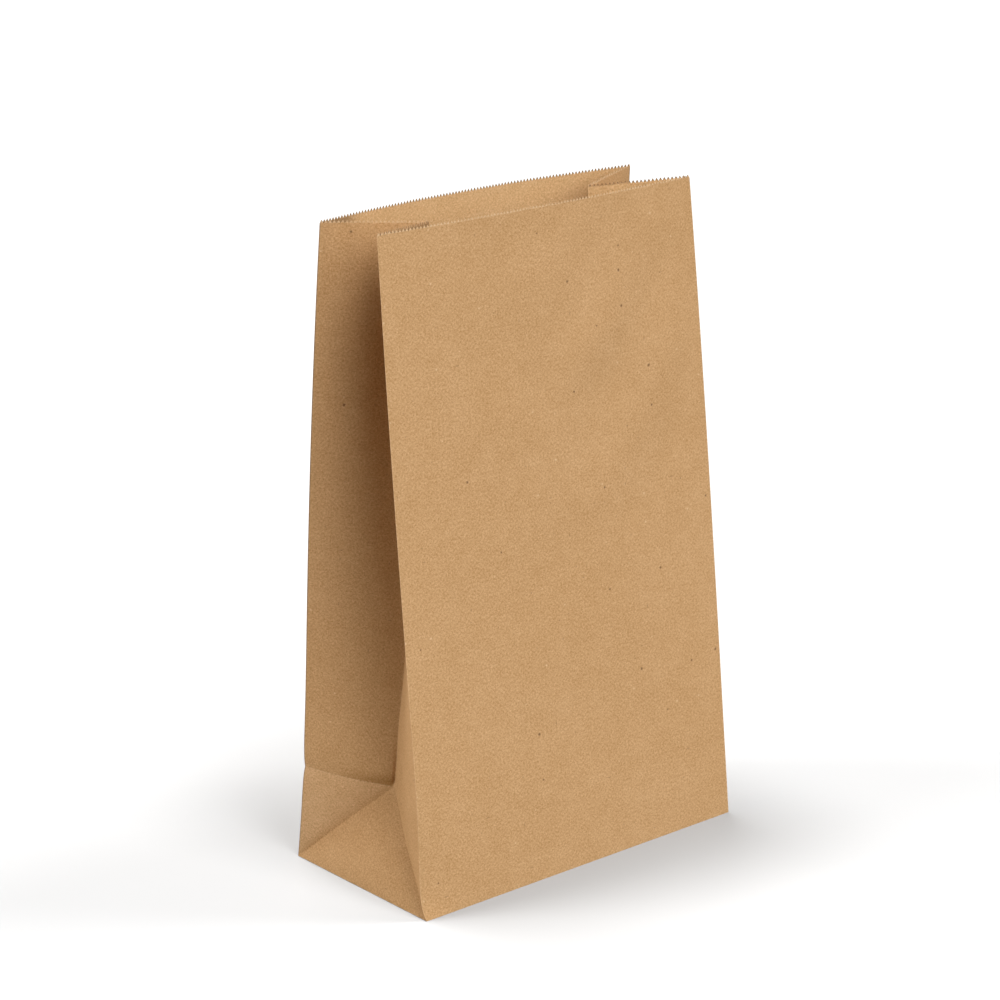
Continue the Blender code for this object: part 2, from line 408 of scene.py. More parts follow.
# %% Swells at the foot
def hump(distance, reach):
    """Rises from 0 to 1 at the reach and fades away beyond it."""
    t = distance.most(0.0) / reach
    return t * (1 - t).math("EXPONENT")


def crease_swell(rules, share, v):
    """The paper bellies out just above the cross crease, most of all close to the peak."""
    sideways = share * share * share * (1 - share).most(0.0).root() * 4.2
    return rules.sizes["Crease Swell"] * hump(v - rules.half, SWELL_REACH) * sideways


def crease_sag(rules, share, v):
    """The cross crease is not quite straight: its middle hangs down a little."""
    t = (v - rules.half) / SAG_REACH
    near = (1 - t * t).most(0.0)
    return rules.sizes["Crease Sag"] * near * near * share * (1 - share) * 4


def flap_swell(rules, share, v):
    """The small triangle under the cross crease is blown out like a cushion."""
    t = (v / rules.half).least(1.0)
    return rules.sizes["Flap Swell"] * t * (1 - t) * share * (1 - share) * 16


def triangle_swell(rules, u, v):
    """The foot triangle bellies a little, still along its three edges."""
    from_edges = v * (u - v) * (2 * rules.half - u - v)
    return rules.sizes["Foot Swell"] * from_edges / (0.148 * rules.half * rules.half * rules.half)


# %% Dents at the peak and the corner
def near_peak(rules, u, v, reach):
    across, up = (u - rules.half) / reach, (v - rules.half) / reach
    near = (1 - across * across - up * up).most(0.0)
    return near * near


def peak_crumple(rules, u, v):
    """Small dents where five creases meet, the same in both halves so that they meet on the fold."""
    dents = rules.bench.noise(rules.bench.vector(u, v, 21.0), CRUMPLE_SCALE, 1.0)
    return rules.sizes["Peak Crumple"] * near_peak(rules, u, v, CRUMPLE_REACH) * dents * 2.0


def corner_kick(rules, from_fold, v):
    """Just above a foot corner the fold is pushed aside, and it comes back at the floor."""
    near = (1 - from_fold).most(0.0)
    return rules.sizes["Corner Kick"] * hump(v, KICK_HEIGHT) * near * near


# %% [markdown]
# Panels and gussets
#
# Each of the six faces of the tube has a rule that takes a place on the flat paper, across and
# up, to a place in the air. The panels are nearly flat: they lean and bow at the rim. A half
# gusset is a strip that twists from the panel's fold to its own centre fold, with the foot
# cut off by the 45 degree crease where the bottom triangle begins.


# %% Rules for the two panels
def front_panel(rules, x, v):
    across = x / rules.width * 2 - 1
    y, z = rules.front_fold(v)
    t = v / rules.height
    bow = rules.sizes["Front Bow"] * t * t * (1 - across * across)
    kick = corner_kick(rules, x / KICK_WIDTH, v)
    place_x = across * rules.half_width(v) - kick * SLANT
    slack = slack_waves(rules, across, v, 3.0) + diagonal_buckle(rules, x, v)
    return place_x, y - bow + kick + slack, z


def back_panel(rules, x, v, proud=0.0):
    across = 1 - x / rules.width * 2
    y, z = rules.back_fold(v)
    s = rules.above_crease(v)
    bow = rules.sizes["Back Bow"] * s * s * (1 - across * across)
    return across * rules.back_half_width(v), y + bow + slack_waves(rules, across, v, 8.0) + proud, z


# %% Rule for half a gusset
def half_gusset(rules, u, v, from_back, seed, drop, kicked=0.0):
    """The right gusset, u in from the panel's fold; the front half, or the back half."""
    triangle_y = rules.half - u if from_back else u - rules.half
    mitre_y = rules.half - v if from_back else v - rules.half
    fold_y, fold_z = rules.back_fold(v) if from_back else rules.front_fold(v)
    centre_x, centre_y, centre_z = rules.centre_fold(v, drop)
    foot_x = rules.width / 2 - v * rules.triangle_sine
    foot_z = v * rules.triangle_cosine + FOLD_LEVEL
    in_foot = v.below(rules.half - SAME_PLACE)
    in_triangle = in_foot * (u - v).above(-SAME_PLACE)
    inner_x = blend(in_foot, centre_x, foot_x)
    inner_y = blend(in_foot, centre_y, mitre_y)
    inner_z = blend(in_foot, centre_z, foot_z)
    share = u / blend(in_foot, rules.half, v.most(SAME_PLACE))
    across = share * 2 - 1
    swell = slack_waves(rules, across, v, seed)
    z = blend(share, fold_z, inner_z)
    if from_back:
        swell = swell + crease_swell(rules, share, v) + flap_swell(rules, share, v)
        z = z - crease_sag(rules, share, v)
    kick = corner_kick(rules, share, v) * kicked
    fold_x = rules.back_half_width(v) if from_back else rules.half_width(v)
    x = blend(share, fold_x, inner_x) + swell * SLANT + kick * SLANT
    y = blend(share, fold_y, inner_y) + (-swell if from_back else swell) + kick
    peak = near_peak(rules, u, v, PEAK_REACH)
    x = blend(in_triangle, x, foot_x + triangle_swell(rules, u, v)) - peak * rules.sizes["Peak Inset"]
    x = x + peak_crumple(rules, u, v)
    z = blend(in_triangle, z, foot_z) - peak * rules.sizes["Peak Drop"]
    return x, blend(in_triangle, y, triangle_y), z


# %% [markdown]
# Laying out, cutting and folding
#
# A flat face is a grid whose columns are one tooth apart, so that a tooth stands on each
# cell of its top row. The teeth are one triangle, repeated along a line of points and joined
# to the sheet where their corners meet it. Before the fold, the place of every point on the
# flat sheet is stored as a UV map: the paper's grain and specks are laid out by it, and run
# round the bag as they ran along the roll.


# %% Flat faces with their teeth
def flat_face(rules, width, columns):
    """One face laid flat: x across from its first fold, y up the paper."""
    bench = rules.bench
    rows = LOWER_ROWS + CREASE_ROWS + UPPER_ROWS
    cells = {"Size X": 1.0, "Size Y": 1.0, "Vertices X": columns + 1, "Vertices Y": rows + 1}
    grid = bench.node("GeometryNodeMeshGrid", inputs=cells)
    across, up = bench.across_and_up(bench.node("GeometryNodeInputPosition"))
    row = (up + 0.5) * rows
    lower = row.least(LOWER_ROWS) * (rules.half / LOWER_ROWS)
    crease = (row - LOWER_ROWS).most(0.0).least(CREASE_ROWS) * CREASE_ROW_HEIGHT
    upper_step = (rules.valley - rules.half - CREASE_ROWS * CREASE_ROW_HEIGHT) / UPPER_ROWS
    upper = (row - LOWER_ROWS - CREASE_ROWS).most(0.0) * upper_step
    place = bench.vector((across + 0.5) * width, lower + crease + upper, 0.0)
    sheet = bench.node("GeometryNodeSetPosition", inputs={"Geometry": grid, "Position": place})
    return join_and_weld(bench, [sheet, row_of_teeth(rules, width, columns)])


def row_of_teeth(rules, width, columns):
    bench = rules.bench
    pitch = width / columns
    triangle = bench.node("GeometryNodeMeshCircle", {"fill_type": "NGON"}, {"Vertices": 3, "Radius": 1.0})
    upright = {"Geometry": triangle, "Translation": (0, 0.5, 0), "Rotation": (0, 0, math.radians(90))}
    tooth = bench.node("GeometryNodeTransform", inputs=upright)
    line = bench.node("GeometryNodeMeshLine", {"mode": "OFFSET"}, {
        "Count": columns,
        "Start Location": bench.vector(pitch / 2, rules.valley, 0.0),
        "Offset": bench.vector(pitch, 0.0, 0.0),
    })
    teeth = bench.node("GeometryNodeInstanceOnPoints", inputs={
        "Points": line,
        "Instance": tooth,
        "Scale": bench.vector(pitch / math.sqrt(3), rules.sizes["Tooth Height"] / 1.5, 1.0),
    })
    return bench.node("GeometryNodeRealizeInstances", inputs=[teeth])


def join_and_weld(bench, pieces):
    joined = bench.node("GeometryNodeJoinGeometry", inputs=[pieces])
    return bench.node("GeometryNodeMergeByDistance", inputs={"Geometry": joined, "Distance": WELD})


def fold_up(rules, flat, start, rule):
    """Stores where the paper lies on the roll, then folds it by the rule."""
    bench = rules.bench
    x, v = bench.across_and_up(bench.node("GeometryNodeInputPosition"))
    named = bench.node("GeometryNodeStoreNamedAttribute", {"data_type": "FLOAT2", "domain": "CORNER"}, {
        "Geometry": flat,
        "Name": "sheet",
        "Value": bench.vector(x + start, v, 0.0),
    })
    place = bench.vector(*rule(x, v))
    folded = bench.node("GeometryNodeSetPosition", inputs={"Geometry": named, "Position": place})
    return bench.node("GeometryNodeTriangulate", {"quad_method": "LONGEST_DIAGONAL"}, [folded])


# %% Fold the six faces and the lap
def fold_tube(rules):
    """The six faces of the tube, in order round it, and the doubled lap on the back."""
    width, half = rules.width, rules.half
    wide = flat_face(rules, width, TEETH_ON_PANEL)
    narrow = flat_face(rules, half, TEETH_ON_HALF_GUSSET)

    def gusset(from_back, leftwards, inwards, seed, kicked=0.0):
        drop = rules.sizes["Left Gusset Drop" if leftwards else "Right Gusset Drop"]

        def rule(x, v):
            px, py, pz = half_gusset(rules, x if inwards else half - x, v, from_back, seed, drop, kicked)
            return (-px if leftwards else px), py, pz
        return rule

    turns = [
        fold_up(rules, wide, 0.0, lambda x, v: front_panel(rules, x, v)),
        fold_up(rules, narrow, PANEL_WIDTH, gusset(False, False, True, 12.0)),
        fold_up(rules, narrow, PANEL_WIDTH + HALF_GUSSET, gusset(True, False, False, 17.0)),
        fold_up(rules, wide, PANEL_WIDTH + GUSSET_DEPTH, lambda x, v: back_panel(rules, x, v)),
        fold_up(rules, narrow, GIRTH - GUSSET_DEPTH, gusset(True, True, True, 21.0)),
        fold_up(rules, narrow, GIRTH - HALF_GUSSET, gusset(False, True, False, 26.0, kicked=1.0)),
    ]
    return join_and_weld(rules.bench, turns)


def fold_lap(rules):
    """The outer paper of the pasted lap: it stands proud of the back panel by one layer."""
    pitch = rules.width / TEETH_ON_PANEL
    flat = flat_face(rules, pitch * LAP_TEETH, LAP_TEETH)
    start = pitch * LAP_FIRST_TOOTH
    proud = 1.4 * PAPER
    return fold_up(rules, flat, GIRTH, lambda x, v: back_panel(rules, x + start, v, proud))


def folding_tree(kraft):
    tree = bpy.data.node_groups.new("fold_paper_bag", "GeometryNodeTree")
    bench = Bench(tree)
    tree.interface.new_socket("Geometry", in_out="OUTPUT", socket_type="NodeSocketGeometry")
    identifiers = {}
    for name, value in STANCE.items():
        socket = tree.interface.new_socket(name, in_out="INPUT", socket_type="NodeSocketFloat")
        identifiers[name] = socket.identifier
    entry = tree.nodes.new("NodeGroupInput")
    sizes = {name: Wire(bench, entry.outputs[name]) for name in STANCE}
    rules = FoldRules(bench, sizes)
    tube = bench.node("GeometryNodeRealizeInstances", inputs=[fold_tube(rules)])
    both = bench.node("GeometryNodeJoinGeometry", inputs=[[tube, fold_lap(rules)]])
    real = bench.node("GeometryNodeRealizeInstances", inputs=[both])
    papered = bench.node("GeometryNodeSetMaterial", inputs={"Geometry": real, "Material": kraft})
    exit_node = tree.nodes.new("NodeGroupOutput")
    tree.links.new(papered.socket, exit_node.inputs["Geometry"])
    return tree, identifiers


# %% [markdown]
# The paper
#
# Kraft paper is long brown fibre, pressed on a wire cloth. Close up it has a fine even grain
# with a faint cross pattern from the wire, cloudy patches where the fibre lies thicker, a few
# dark slivers of bark and a few pale ones. Along a crease it is lighter, partly because the
# fibres break there and partly as a painted highlight of the rounded fold. All of it is laid
# out on the flat sheet's coordinates, in metres, so it turns with the paper at every fold.
#
# Some tones are painted light and shade, because they lie in places too narrow for the lamps:
# the shade in the tight corners of the mouth, over the cross crease near the peak, on the
# inner face of the teeth and in a thin line beside the two back folds, and the painted light
# on the small flap under that crease.

# %% Colours and scales of the paper
KRAFT = (0.575, 0.343, 0.160, 1.0)
# Bark brown for the flecks, also the colour of the painted shade.
BARK_AND_SHADE_BROWN = (0.115, 0.052, 0.020, 1.0)
# Pale fibre for the flecks, also the colour of the painted highlight on the creases.
PALE_FIBRE_AND_HIGHLIGHT = (0.800, 0.575, 0.350, 1.0)
CUT_FIBRE = (0.720, 0.500, 0.290, 1.0)
KRAFT_ROUGHNESS = 0.86
GRAIN_SCALE = 820.0
MOTTLE_SCALE = 150.0
CLOUD_SCALE = 60.0
BROAD_SCALE = 11.0
WIRE_PITCH = 0.0023
INSIDE_TINT = (1.09, 1.17, 1.23)

# How much each pattern lightens and darkens the paper.
GRAIN_TONE = 0.66
FINE_TONE = 0.36
WIRE_TONE = 0.034
MOTTLE_TONE = 0.11
CLOUD_TONE = 0.12
BROAD_TONE = 0.10

# Flecks: spacing, share of the cells that hold one, radius, seed, stretch and strength.
BARK_FLECKS = [
    (0.017, 0.09, 0.00080, 1.3, (1.0, 1.0), 1.0),
    (0.007, 0.10, 0.00042, 4.1, (1.0, 1.0), 0.45),
    (0.008, 0.09, 0.00034, 6.2, (1.0, 0.35), 0.5),
    (0.008, 0.08, 0.00034, 2.9, (0.3, 1.0), 0.5),
]
PALE_FLECKS = (0.014, 0.16, 0.00060, 7.7, (1.0, 1.0), 0.75)

# %% Strengths and places of the painted tones
TOOTH_PALENESS = 0.60
INSIDE_TOOTH_PAINTED_SHADE = 0.90
BACK_FOLD_PAINTED_SHADE = 0.75
CORNER_SHADE = 0.62
PEAK_SHADE = 0.36
FLAP_PAINTED_LIGHT = 0.13
CREASE_PALENESS = 0.26

RIGHT_CENTRE = PANEL_WIDTH + HALF_GUSSET
RIGHT_BACK_FOLD = PANEL_WIDTH + GUSSET_DEPTH
LEFT_BACK_FOLD = GIRTH - GUSSET_DEPTH
LEFT_CENTRE = GIRTH - HALF_GUSSET
LAP_END = GIRTH + LAP_TEETH * PANEL_WIDTH / TEETH_ON_PANEL
FOLD_PLACES = [0.0, PANEL_WIDTH, RIGHT_CENTRE, RIGHT_BACK_FOLD, LEFT_BACK_FOLD, LEFT_CENTRE, GIRTH, LAP_END]

CREASE_LINE = 0.00055        # half the width of a pale crease line, worn fibre and painted highlight
FOLD_LINE = 0.00035
SHADE_MIDDLE = 0.0022        # this far above the cross crease its shade is deepest
SHADE_SPREAD = 0.0050
SHADE_LENGTH = 0.034         # along the crease, from the peak
MITRE_SOFTNESS = 0.0070
RIM_SHADE_DEPTH = 0.016
RIM_SHADE_SOFTNESS = 0.004
RIM_SHADE_WIDTH = 0.026
RIM_SHADE_FADE = 0.008
print("folds, mm round the sheet:", [round(place * 1000) for place in FOLD_PLACES])


# %% Flecks
def specks(bench, sheet, spacing, share, radius, seed, stretch, strength):
    """Sparse flecks: one cell in so many holds one. A stretch of the cells makes slivers."""
    moved = bench.node("ShaderNodeVectorMath", {"operation": "MULTIPLY_ADD"}, [
        sheet, (stretch[0], stretch[1], 0.0), (seed, seed * 0.7, 0.0)])
    wobble = bench.noise(moved, 900.0, 1.0) * 0.8 + 1.0
    cells = {"Vector": moved, "Scale": 1.0 / spacing, "Randomness": 0.9}
    distance = bench.node("ShaderNodeTexVoronoi", {"voronoi_dimensions": "2D"}, cells, "Distance")
    lot = bench.node("ShaderNodeTexVoronoi", {"voronoi_dimensions": "2D"}, cells, "Color")
    draw = bench.node("ShaderNodeSeparateColor", inputs=[lot])
    size = draw.beside(1) * 0.7 + 0.3
    edge = distance * spacing / (size * radius) * wobble
    return (1.3 - edge).most(0.0).least(1.0) * draw.below(share) * strength


def bark_flecks(bench, sheet):
    flecks = [specks(bench, sheet, *kind) for kind in BARK_FLECKS]
    darkest = flecks[0]
    for other in flecks[1:]:
        darkest = darkest.most(other)
    return darkest


# %% Pale crease lines, partly a painted highlight
def gusset_places(u):
    """How far a place is from the nearer centre fold, and 1 behind the two centre folds."""
    from_right = (u - RIGHT_CENTRE).size()
    from_left = (u - LEFT_CENTRE).size()
    return from_right.least(from_left), u.above(RIGHT_CENTRE) * u.below(LEFT_CENTRE)


def crease_lines(u, v):
    """Pale on a hard fold, worn fibre and painted highlight: 1 on a crease, 0 half a millimetre away."""
    nearest = (u - FOLD_PLACES[0]).size()
    for place in FOLD_PLACES[1:]:
        nearest = nearest.least((u - place).size())
    from_centre, on_back_half = gusset_places(u)
    in_triangle = (HALF_GUSSET - from_centre).above(v)
    nearest = nearest + in_triangle * from_centre.below(0.002)
    cross = (v - HALF_GUSSET).size() + (1 - on_back_half)
    return (1 - nearest.least(cross) / CREASE_LINE).most(0.0)


# %% Painted tones
def foot_tones(u, v):
    """On the back half of each gusset: painted shade over the crease near the peak, and painted light on the
    flap.
    """
    from_centre, on_back_half = gusset_places(u)
    on_gusset = on_back_half * from_centre.below(HALF_GUSSET)
    from_middle = (v - HALF_GUSSET - SHADE_MIDDLE).size()
    over_crease = (1 - from_middle / SHADE_SPREAD).most(0.0) * v.above(HALF_GUSSET)
    shade = over_crease * (1 - from_centre / SHADE_LENGTH).most(0.0) * on_gusset
    from_mitre = ((from_centre + v - HALF_GUSSET) / MITRE_SOFTNESS).most(0.0).least(1.0)
    return shade, from_mitre * v.below(HALF_GUSSET) * on_gusset


def back_fold_shade(u):
    """Painted shade: 1 on the gusset side of the two back folds, where the paper starts to turn away."""
    distance = (u - RIGHT_BACK_FOLD).size().least((u - LEFT_BACK_FOLD).size())
    on_gussets = u.below(RIGHT_BACK_FOLD) + u.above(LEFT_BACK_FOLD)
    return (1.6 - distance / FOLD_LINE).most(0.0).least(1.0) * on_gussets


def corner_shade(u, v):
    """Inside, where two layers lie close at the left end of the mouth: 1 in the narrow corners."""
    near_rim = ((v - PAPER_HEIGHT + RIM_SHADE_DEPTH) / RIM_SHADE_SOFTNESS).most(0.0).least(1.0)
    behind_front = u.above(LEFT_CENTRE)
    from_back_fold = (u - LEFT_BACK_FOLD).size()
    beside_back = ((RIM_SHADE_WIDTH - from_back_fold) / RIM_SHADE_FADE).most(0.0).least(1.0)
    return near_rim * behind_front.most(beside_back)


# %% Grain, clouds and wire marks
def paper_patterns(bench, sheet, u, v):
    """The grain and the clouds, the tone that all the patterns give together, and their relief."""
    grain = bench.noise(sheet, GRAIN_SCALE, 2.0, 0.6)
    fine = bench.noise(sheet, GRAIN_SCALE * 2.0, 1.0)
    cloud = bench.noise(sheet, CLOUD_SCALE, 2.0)
    broad = bench.noise(sheet, BROAD_SCALE, 1.0)
    mottle = bench.noise(sheet, MOTTLE_SCALE, 1.0)
    turn = 2 * math.pi / WIRE_PITCH
    wire_marks = (u * turn + mottle * 3.0).math("SINE") * (v * turn - mottle * 3.0).math("SINE")
    tone = 1 + grain * GRAIN_TONE + fine * FINE_TONE + wire_marks * WIRE_TONE
    tone = tone + mottle * MOTTLE_TONE + cloud * CLOUD_TONE + broad * BROAD_TONE
    relief = grain * 0.6 + fine * 0.4 + wire_marks * 0.06 + cloud * 0.5
    return grain, cloud, tone, relief


def paper_colour(bench, tone, pale, dark, tint):
    """Kraft brown, redder where it is darker, with pale and dark marks laid on it: fibre, bark, painted
    light and shade.
    """
    base = (KRAFT[0] * tint[0], KRAFT[1] * tint[1], KRAFT[2] * tint[2], 1.0)
    shades = bench.vector(tone, tone * (0.7 + 0.3 * tone), tone * tone)
    brown = bench.mix(1.0, base, shades, "MULTIPLY")
    return bench.mix(dark * 0.8, bench.mix(pale, brown, PALE_FIBRE_AND_HIGHLIGHT), BARK_AND_SHADE_BROWN)


# %% Finish of the paper
def kraft_material(name, seed, outside):
    material = bpy.data.materials.new(name)
    material.use_nodes = True
    bench = Bench(material.node_tree)
    shader = material.node_tree.nodes["Principled BSDF"]
    flat = bench.node("ShaderNodeUVMap", {"uv_map": "sheet"})
    u, v = bench.across_and_up(flat)
    sheet = bench.node("ShaderNodeVectorMath", {"operation": "ADD"}, [flat, (seed, seed, 0.0)])
    grain, cloud, tone, relief = paper_patterns(bench, sheet, u, v)
    # Pale creases: broken fibre, and a painted highlight of the fold.
    pale = crease_lines(u, v) * (CREASE_PALENESS + grain)
    dark = bark_flecks(bench, sheet)
    up_tooth = ((v - PAPER_HEIGHT) / TOOTH_HEIGHT + 1).most(0.0)
    if outside:
        pale = pale.most(up_tooth.above(0.25) * (TOOTH_PALENESS + grain * 1.2 + cloud * 0.8))
        # Painted shade over the cross crease near the peak, and painted light on the flap below it.
        shade, flap = foot_tones(u, v)
        tone = tone * (1 - shade * PEAK_SHADE) * (1 + flap * FLAP_PAINTED_LIGHT)
        # Painted shade in a thin line beside the two back folds.
        dark = dark.most(back_fold_shade(u) * BACK_FOLD_PAINTED_SHADE)
    else:
        # Painted shade on the inner face of the teeth and in the narrow corners of the mouth.
        dark = dark.most((up_tooth * 1.6).least(1.0) * INSIDE_TOOTH_PAINTED_SHADE)
        dark = dark.most(corner_shade(u, v) * CORNER_SHADE)
    pale = specks(bench, sheet, *PALE_FLECKS).most(pale)
    tint = (1.0, 1.0, 1.0) if outside else INSIDE_TINT
    bump = bench.node("ShaderNodeBump", inputs={"Strength": 0.6, "Distance": 0.00017, "Height": relief})
    bench.feed(shader.inputs["Base Color"], paper_colour(bench, tone, pale, dark, tint))
    bench.feed(shader.inputs["Roughness"], KRAFT_ROUGHNESS + grain * 0.10)
    bench.feed(shader.inputs["Normal"], bump)
    shader.inputs["Specular IOR Level"].default_value = 0.25
    return material


# %% The cut edge
def cut_edge():
    """The bare edge of the sheet: paler, because the fibre is cut through."""
    material = bpy.data.materials.new("kraft_cut_edge")
    material.use_nodes = True
    bench = Bench(material.node_tree)
    shader = material.node_tree.nodes["Principled BSDF"]
    sheet = bench.node("ShaderNodeUVMap", {"uv_map": "sheet"})
    tone = 1 + bench.noise(sheet, 700.0, 2.0) * 0.3
    colour = bench.mix(1.0, CUT_FIBRE, bench.vector(tone, tone, tone), "MULTIPLY")
    bench.feed(shader.inputs["Base Color"], colour)
    shader.inputs["Roughness"].default_value = 0.9
    return material


PAPERS = [kraft_material("kraft_outside", 0.0, True), kraft_material("kraft_inside", 3.0, False), cut_edge()]
print("paper materials:", [paper.name for paper in PAPERS])

# %% [markdown]
# From tree to sheet
#
# The modifier's sizes are set by the identifiers of its sockets. The evaluated object is then
# turned into a plain mesh, with all its faces pointing out of the bag, and the modifier is gone.


# %% Make the folded sheet
def plain_mesh(tree, identifiers):
    holder = bpy.data.objects.new("fold_guide", bpy.data.meshes.new("fold_guide"))
    bpy.context.scene.collection.objects.link(holder)
    folding = holder.modifiers.new("fold", "NODES")
    folding.node_group = tree
    for name, value in STANCE.items():
        folding[identifiers[name]] = value
    evaluated = holder.evaluated_get(bpy.context.evaluated_depsgraph_get())
    mesh = bpy.data.meshes.new_from_object(evaluated)
    bpy.data.objects.remove(holder)
    return mesh


def add_plate(bm, uv_layer, outline, low, high):
    """A pasted flap: an outline with a lower and an upper height at each corner."""
    under = [bm.verts.new((x, y, low(x, y))) for x, y in outline]
    over = [bm.verts.new((x, y, high(x, y))) for x, y in outline]
    faces = [bm.faces.new(list(reversed(under))), bm.faces.new(over)]
    for start in range(len(outline)):
        end = (start + 1) % len(outline)
        faces.append(bm.faces.new([under[start], under[end], over[end], over[start]]))
    for face in faces:
        for loop in face.loops:
            loop[uv_layer].uv = (loop.vert.co.x + 0.1, loop.vert.co.y - 0.1)


tree, identifiers = folding_tree(PAPERS[0])
sheet_mesh = plain_mesh(tree, identifiers)
print("folded sheet:", len(sheet_mesh.vertices), "points,", len(sheet_mesh.polygons), "faces")
print("uv maps:", [layer.name for layer in sheet_mesh.uv_layers])

# %% Give the sheet its thickness
def thick_sheet(mesh):
    bm = bmesh.new()
    bm.from_mesh(mesh)
    bmesh.ops.recalc_face_normals(bm, faces=bm.faces[:])
    bm.to_mesh(mesh)
    bm.free()
    mesh.materials.clear()
    for paper in PAPERS:
        mesh.materials.append(paper)
    sheet = bpy.data.objects.new("thin_sheet", mesh)
    bpy.context.scene.collection.objects.link(sheet)
    body = sheet.modifiers.new("body", "SOLIDIFY")
    body.thickness = PAPER
    body.offset = -1
    body.use_even_offset = True
    body.material_offset = 1
    body.material_offset_rim = 2
    evaluated = sheet.evaluated_get(bpy.context.evaluated_depsgraph_get())
    thick = bpy.data.meshes.new_from_object(evaluated)
    bpy.data.objects.remove(sheet)
    return thick


thick_mesh = thick_sheet(sheet_mesh)
print("with thickness:", len(thick_mesh.polygons), "faces")

# %% [markdown]
# The bottom
#
# Under the tube lie the folded ends of the same sheet: first a fold from each side, then the
# front flap, and last the back flap pasted over it. From below they show as two side
# triangles and one straight free edge. Each is a flat plate one layer thick, and the flaps are
# cut at 45 degrees because their ends are folded there.


# %% Lay the folds of the bottom
def lay_bottom(bm, uv_layer):
    reach = HALF_GUSSET + FLAP_OVERLAP / 2
    inner_x = HALF_WIDTH - reach

    def flap(side):
        return [(-HALF_WIDTH, side * HALF_GUSSET), (-inner_x, side * (HALF_GUSSET - reach)),
                (inner_x, side * (HALF_GUSSET - reach)), (HALF_WIDTH, side * HALF_GUSSET)]

    def climb(x, y):
        return PAPER * (y + HALF_GUSSET) / reach

    def rise_to_wall(layer):
        return lambda x, y: FOLD_LEVEL if abs(y) > HALF_GUSSET - PAPER else layer * PAPER

    back = flap(1)
    front = list(reversed(flap(-1)))
    add_plate(bm, uv_layer, back, lambda x, y: 0.0, rise_to_wall(1))
    add_plate(bm, uv_layer, front, climb, rise_to_wall(2))
    for side in (-1, 1):
        edge_x = side * inner_x
        wall_x = side * HALF_WIDTH
        corners = [(edge_x, -HALF_GUSSET), (wall_x, -HALF_GUSSET),
                   (wall_x, HALF_GUSSET), (edge_x, HALF_GUSSET)]
        corners = corners if side > 0 else list(reversed(corners))
        add_plate(bm, uv_layer, corners, lambda x, y: FOLD_LEVEL, lambda x, y: FOLD_LEVEL + PAPER)


# %% Finish the bag
CREASE_ANGLE = math.radians(14)          # a sharper bend than this is a crease


def finished_bag(mesh):
    bm = bmesh.new()
    bm.from_mesh(mesh)
    lay_bottom(bm, bm.loops.layers.uv["sheet"])
    bm.to_mesh(mesh)
    bm.free()
    mesh.name = "folded_paper_bag"
    mesh.shade_smooth()
    mesh.set_sharp_from_angle(angle=CREASE_ANGLE)
    bag = bpy.data.objects.new("folded_paper_bag", mesh)
    bpy.context.scene.collection.objects.link(bag)
    return bag


bag = finished_bag(thick_mesh)
bag.data.calc_loop_triangles()
print("bag:", len(bag.data.loop_triangles), "triangles")
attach(bag, "root")
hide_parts("paper_bag")

# %% [markdown]
# Floor and light
#
# The bag stands on a white sweep: the floor and the air behind it are white to the camera, but
# the floor still takes the bag's shadow. Two sets of lamps do this, as in a product studio. A
# tall soft window in front, cut into three lamps, reaches over the rim and into the mouth, and
# leaves the deep side fold dark. Low lamps from behind on the left light the front half
# of that fold, whose brown glow fills the rest, and a small card close to the floor lifts the
# foot. A last lamp, behind on the right, is for the side that the photograph does not show.
# Light that has come off paper is warm, so the low lamps, the card and the room's faint fill
# are a little warm too. The floor has a ring of soft lamps of its own, high up all round,
# which blur the shadow into an even pool at the foot. Light linking says which set shines
# on what.

# %% Lamps and their strengths
WHITE = (1.0, 1.0, 1.0)
WARM = (1.0, 0.95, 0.88)
ROOM_LIGHT = (0.045, 0.032, 0.018)
FLOOR_SEEN = (0.25, 0.25, 0.25)         # how white the floor is to the camera
FLOOR_GLOW = (0.020, 0.017, 0.013)      # how much of its light the floor gives back to the bag
# Each lamp: turn from straight in front towards the left and height, in degrees; width;
# strength; colour.
BAG_LAMPS = [
    (8, 28, 44, 0.57, WHITE),
    (5, 44, 28, 0.19, WHITE),
    (-8, 60, 28, 0.42, WHITE),
    (133, 14, 40, 0.365, WARM),
    (170, 14, 28, 0.32, WARM),
    (-125, 30, 40, 0.42, WHITE),
]
FLOOR_LAMPS = [
    (160, 76, 20, 1.82, WHITE),
    (0, 62, 20, 1.23, WHITE),
    (-60, 48, 20, 1.12, WHITE),
    (120, 50, 20, 0.90, WHITE),
    (-150, 48, 20, 0.20, WHITE),
]
CARD_PLACE = Vector((-0.25, 0.0, 0.04))
CARD_AIM = Vector((-0.09, 0.0, 0.05))
CARD_SIDE = 0.12
CARD_POWER = 0.078
FLOOR_REACH = 6.0
SUN_DISTANCE = 1.5                      # where a lamp is drawn: a sun shines the same from anywhere


# %% Build the floor and the room
def seen_by_camera(bench):
    path = bench.node("ShaderNodeLightPath", output="Is Camera Ray")
    return path.most(path.beside("Is Glossy Ray")).most(path.beside("Is Transmission Ray"))


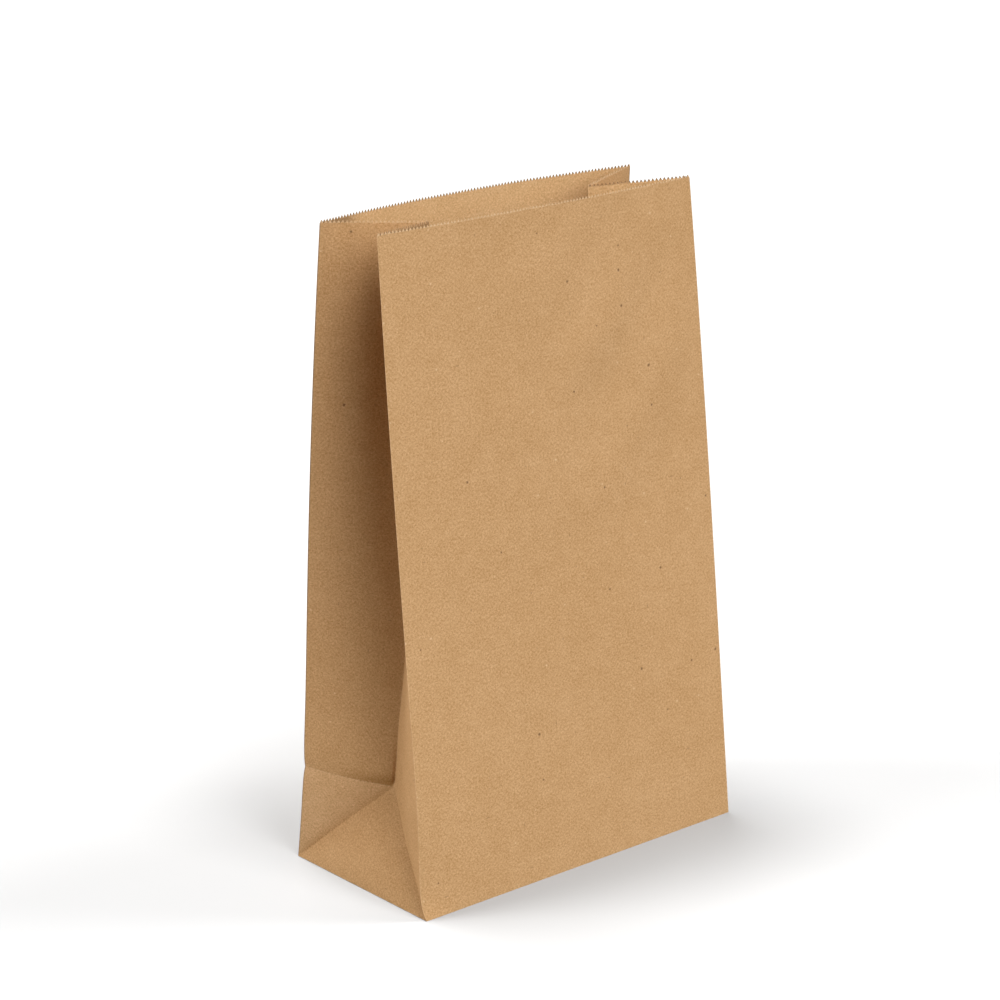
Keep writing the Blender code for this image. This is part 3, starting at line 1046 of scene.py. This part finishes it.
def build_floor():
    mesh = bpy.data.meshes.new("floor")
    far = FLOOR_REACH
    corners = [(-far, -far, 0), (far, -far, 0), (far, far, 0), (-far, far, 0)]
    mesh.from_pydata(corners, [], [(0, 1, 2, 3)])
    floor = bpy.data.objects.new("floor", mesh)
    bpy.context.scene.collection.objects.link(floor)
    material = bpy.data.materials.new("white_floor")
    material.use_nodes = True
    bench = Bench(material.node_tree)
    shader = material.node_tree.nodes["Principled BSDF"]
    colour = bench.mix(seen_by_camera(bench), (*FLOOR_GLOW, 1), (*FLOOR_SEEN, 1))
    bench.feed(shader.inputs["Base Color"], colour)
    shader.inputs["Roughness"].default_value = 1.0
    shader.inputs["Specular IOR Level"].default_value = 0.0
    mesh.materials.append(material)
    return floor


def build_room_light():
    world = bpy.data.worlds.new("bright_room")
    bpy.context.scene.world = world
    world.use_nodes = True
    bench = Bench(world.node_tree)
    background = world.node_tree.nodes["Background"]
    colour = bench.mix(seen_by_camera(bench), (*ROOM_LIGHT, 1), (*WHITE, 1))
    bench.feed(background.inputs["Color"], colour)
    background.inputs["Strength"].default_value = 1.0


# %% Hang the lamps
def only_for(name, piece):
    """A group that a lamp can be linked to, so that it shines on this piece alone."""
    group = bpy.data.collections.new(name)
    group.objects.link(piece)
    return group


def hang(name, kind, place, towards, colour, lit):
    lamp = bpy.data.lights.new(name, kind)
    lamp.color = colour
    holder = bpy.data.objects.new(name, lamp)
    holder.location = place
    holder.rotation_euler = towards.to_track_quat("Z", "Y").to_euler()
    holder.light_linking.receiver_collection = lit
    holder.visible_camera = False
    bpy.context.scene.collection.objects.link(holder)
    return lamp


def soft_lamp(name, turn, height, width, strength, colour, lit):
    turn, height = math.radians(turn), math.radians(height)
    level = math.cos(height)
    towards = Vector((-math.sin(turn) * level, -math.cos(turn) * level, math.sin(height)))
    lamp = hang(name, "SUN", towards * SUN_DISTANCE, towards, colour, lit)
    lamp.energy = strength * math.pi
    lamp.angle = math.radians(width)


floor = build_floor()
build_room_light()
for kind, lamps, piece in (("bag", BAG_LAMPS, bag), ("floor", FLOOR_LAMPS, floor)):
    lit = only_for("lit_" + kind, piece)
    for number, lamp in enumerate(lamps):
        soft_lamp(f"{kind}_lamp_{number + 1}", *lamp, lit)
card = hang("low_card", "AREA", CARD_PLACE, CARD_PLACE - CARD_AIM, WARM, bpy.data.collections["lit_bag"])
card.energy = CARD_POWER
card.size = CARD_SIDE
bpy.context.scene.view_settings.view_transform = "Standard"
print("lamps:", len(BAG_LAMPS) + 1, "on the bag,", len(FLOOR_LAMPS), "on the floor")
